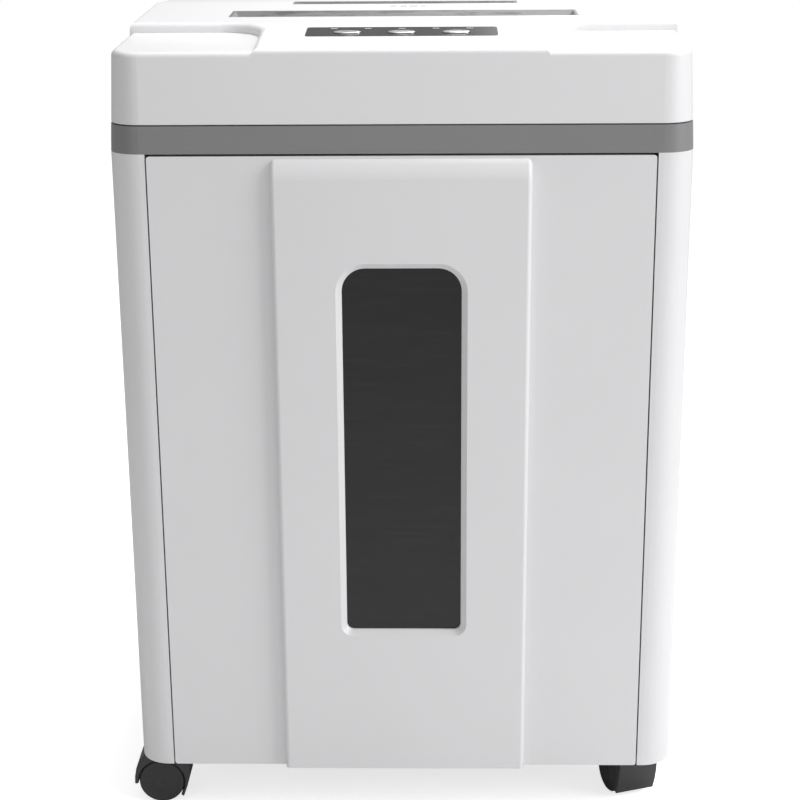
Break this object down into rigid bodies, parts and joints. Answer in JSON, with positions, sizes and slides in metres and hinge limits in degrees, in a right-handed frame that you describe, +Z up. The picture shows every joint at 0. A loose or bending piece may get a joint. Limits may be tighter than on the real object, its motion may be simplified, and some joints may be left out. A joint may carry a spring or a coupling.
{
  "type": "paper shredder",
  "caption": "Office paper shredder on twin-wheel castors, with a sloping head, a push-button panel, feed and disc slots and a pull-out bin behind a windowed front.",
  "frame": {"origin": "centre of the footprint on the floor", "axes": "+Z up, -Y towards the person at the front, +X to that person's right"},
  "size_m": [0.409, 0.31, 0.5769],
  "materials": {
    "white_shell": "smooth white, satin gloss",
    "white_sheet": "white powder coat",
    "grey_board": "plain dark grey",
    "grey_casing": "mid grey, fine texture",
    "smoked_pane": "smoked clear sheet",
    "dark_plastic": "black, fine texture",
    "throat_plastic": "dark grey, smooth",
    "fascia_gloss": "piano black",
    "silver_cap": "satin silver",
    "light_guide": "clear light guide",
    "circuit_board": "solder mask",
    "zinc_steel": "zinc plated",
    "hard_steel": "oiled, hardened",
    "bronze": "sintered, oiled",
    "slick_nylon": "natural nylon",
    "magnet": "sintered ferrite",
    "motor_paint": "grey paint",
    "laminations": "varnished laminations",
    "rocker_plastic": "black",
    "castor_plastic": "black, fine texture",
    "castor_tread": "black"
  },
  "bodies": {
    "cabinet": {"base_plate": "grey_board", "bin_runners": "zinc_steel", "board_components": "dark_plastic", "control_board": "circuit_board", "control_fascia": "fascia_gloss", "cord_inlet": "dark_plastic", "disc_throat": "throat_plastic", "drawer_sensor": "dark_plastic", "feed_throat": "throat_plastic", "gear_cover": "dark_plastic", "head_support_frame": "grey_board", "idler_axles": "hard_steel", "indicator_lights": "light_guide", "lower_casing": "grey_casing", "motor_can": "motor_paint", "motor_cradle": "dark_plastic", "motor_field": "laminations", "paper_sensors": "dark_plastic", "power_board": "circuit_board", "rear_panel": "white_sheet", "rear_panel_screws": "zinc_steel", "shaft_bushes": "bronze", "side_panel_left": "white_shell", "side_panel_right": "white_shell", "side_plate_left": "zinc_steel", "side_plate_right": "zinc_steel", "stripper_front": "dark_plastic", "stripper_rear": "dark_plastic", "switch_housing": "dark_plastic", "tie_bars": "zinc_steel", "top_cover": "white_shell", "under_tray": "dark_plastic"},
    "drawer": {"drawer_front": "white_shell", "window_pane": "smoked_pane", "bin_tub": "dark_plastic", "bin_glides": "slick_nylon", "sensor_magnet": "magnet"},
    "button_left": {"button_left": "silver_cap"},
    "button_middle": {"button_middle": "silver_cap"},
    "button_right": {"button_right": "silver_cap"},
    "rocker": {"power_rocker": "rocker_plastic"},
    "cutter_front": {"cutter_shaft_front": "hard_steel", "cutter_discs_front": "hard_steel", "drive_gear": "hard_steel", "sync_gear_front": "hard_steel"},
    "cutter_rear": {"cutter_shaft_rear": "hard_steel", "cutter_discs_rear": "hard_steel", "sync_gear_rear": "hard_steel"},
    "idler_first": {"idler_gear_first": "slick_nylon"},
    "idler_second": {"idler_gear_second": "hard_steel"},
    "rotor": {"motor_armature": "laminations", "motor_pinion": "hard_steel"},
    "castor_front_left": {"castor_hood_front_left": "castor_plastic"},
    "wheels_front_left": {"castor_wheels_front_left": "castor_tread"},
    "castor_front_right": {"castor_hood_front_right": "castor_plastic"},
    "wheels_front_right": {"castor_wheels_front_right": "castor_tread"},
    "castor_rear_left": {"castor_hood_rear_left": "castor_plastic"},
    "wheels_rear_left": {"castor_wheels_rear_left": "castor_tread"},
    "castor_rear_right": {"castor_hood_rear_right": "castor_plastic"},
    "wheels_rear_right": {"castor_wheels_rear_right": "castor_tread"}
  },
  "joints": [
    {"name": "drawer_slide", "type": "slide", "parent": "cabinet", "child": "drawer", "axis": [0, -1, 0], "range_m": [0, 0.24]},
    {"name": "press_left", "type": "slide", "parent": "cabinet", "child": "button_left", "axis": [0, 0.0941, -0.9956], "range_m": [0, 0.001], "stiffness_N_per_m": 400, "springref_m": -0.0005},
    {"name": "press_middle", "type": "slide", "parent": "cabinet", "child": "button_middle", "axis": [0, 0.0941, -0.9956], "range_m": [0, 0.001], "stiffness_N_per_m": 400, "springref_m": -0.0005},
    {"name": "press_right", "type": "slide", "parent": "cabinet", "child": "button_right", "axis": [0, 0.0941, -0.9956], "range_m": [0, 0.001], "stiffness_N_per_m": 400, "springref_m": -0.0005},
    {"name": "rocker_tilt", "type": "hinge", "parent": "cabinet", "child": "rocker", "pos_m": [0.12, 0.15032, 0.537], "axis": [0, 0, 1], "range_deg": [-14, 0]},
    {"name": "cutter_front_spin", "type": "hinge", "parent": "cabinet", "child": "cutter_front", "pos_m": [0, -0.023, 0.518], "axis": [1, 0, 0], "continuous": true},
    {"name": "cutter_rear_spin", "type": "hinge", "parent": "cabinet", "child": "cutter_rear", "pos_m": [0, 0.013, 0.518], "axis": [1, 0, 0], "continuous": true},
    {"name": "idler_first_spin", "type": "hinge", "parent": "cabinet", "child": "idler_first", "pos_m": [0, -0.05702, 0.49958], "axis": [1, 0, 0], "continuous": true},
    {"name": "idler_second_spin", "type": "hinge", "parent": "cabinet", "child": "idler_second", "pos_m": [0, -0.05661, 0.53158], "axis": [1, 0, 0], "continuous": true},
    {"name": "motor_spin", "type": "hinge", "parent": "cabinet", "child": "rotor", "pos_m": [0, -0.083, 0.512], "axis": [1, 0, 0], "continuous": true},
    {"name": "swivel_front_left", "type": "hinge", "parent": "cabinet", "child": "castor_front_left", "pos_m": [-0.172, -0.116, 0.042], "axis": [0, 0, 1], "continuous": true},
    {"name": "roll_front_left", "type": "hinge", "parent": "castor_front_left", "child": "wheels_front_left", "pos_m": [-0.184, -0.116, 0.017], "axis": [0, -1, 0], "continuous": true},
    {"name": "swivel_front_right", "type": "hinge", "parent": "cabinet", "child": "castor_front_right", "pos_m": [0.172, -0.116, 0.042], "axis": [0, 0, 1], "continuous": true},
    {"name": "roll_front_right", "type": "hinge", "parent": "castor_front_right", "child": "wheels_front_right", "pos_m": [0.1679, -0.10472, 0.017], "axis": [-0.9397, -0.342, 0], "continuous": true},
    {"name": "swivel_rear_left", "type": "hinge", "parent": "cabinet", "child": "castor_rear_left", "pos_m": [-0.172, 0.122, 0.042], "axis": [0, 0, 1], "continuous": true},
    {"name": "roll_rear_left", "type": "hinge", "parent": "castor_rear_left", "child": "wheels_rear_left", "pos_m": [-0.1679, 0.11072, 0.017], "axis": [0.9397, 0.342, 0], "continuous": true},
    {"name": "swivel_rear_right", "type": "hinge", "parent": "cabinet", "child": "castor_rear_right", "pos_m": [0.172, 0.122, 0.042], "axis": [0, 0, 1], "continuous": true},
    {"name": "roll_rear_right", "type": "hinge", "parent": "castor_rear_right", "child": "wheels_rear_right", "pos_m": [0.184, 0.122, 0.017], "axis": [0, 1, 0], "continuous": true}
  ],
  "couplings": [
    {"joint": "cutter_rear_spin", "follows": "cutter_front_spin", "ratio": -1},
    {"joint": "idler_second_spin", "follows": "cutter_front_spin", "ratio": -3.1429},
    {"joint": "idler_first_spin", "follows": "cutter_front_spin", "ratio": 11.224},
    {"joint": "motor_spin", "follows": "cutter_front_spin", "ratio": -56.122}
  ]
}
